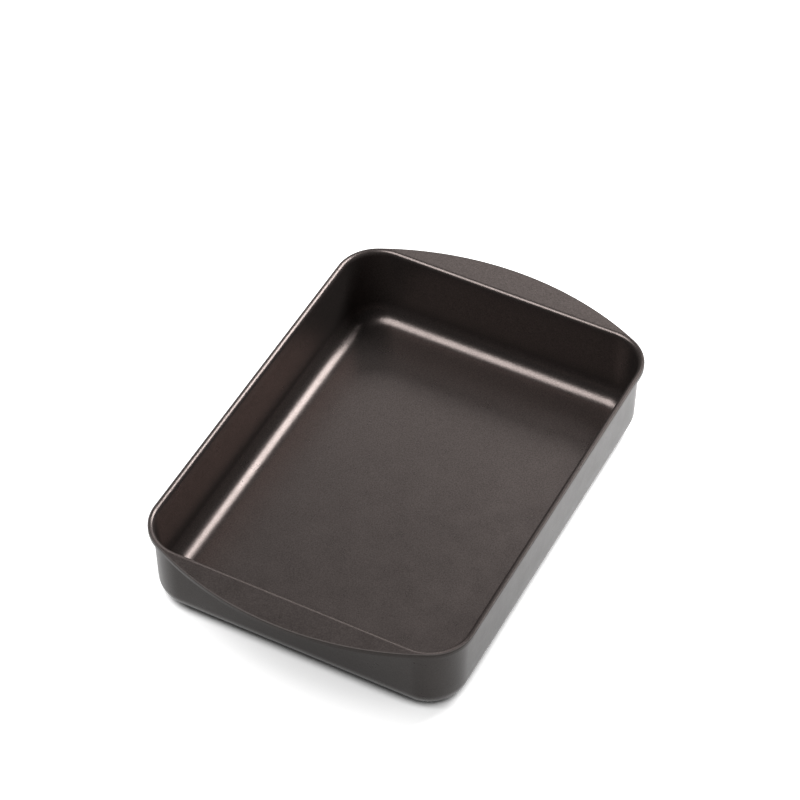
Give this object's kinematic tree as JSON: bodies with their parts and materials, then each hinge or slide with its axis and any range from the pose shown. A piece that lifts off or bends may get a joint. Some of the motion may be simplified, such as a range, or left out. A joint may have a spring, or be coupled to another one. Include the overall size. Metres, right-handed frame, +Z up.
{
  "type": "roasting pan",
  "caption": "Rectangular roasting pan pressed from coated steel sheet, with round corners, a turned-down rim and a crescent handle flange at each short end.",
  "frame": {"origin": "middle of the underside, on the surface the pan stands on", "axes": "+X along the length towards one handle, +Y across the width, +Z up through the open top"},
  "size_m": [0.398, 0.26, 0.07],
  "materials": {
    "steel_sheet": "satin",
    "interior_non_stick": "satin",
    "exterior_non_stick": "satin"
  },
  "bodies": {
    "root": {"steel_pressing": "steel_sheet", "interior_coating": "interior_non_stick", "exterior_coating": "exterior_non_stick"}
  },
  "joints": []
}
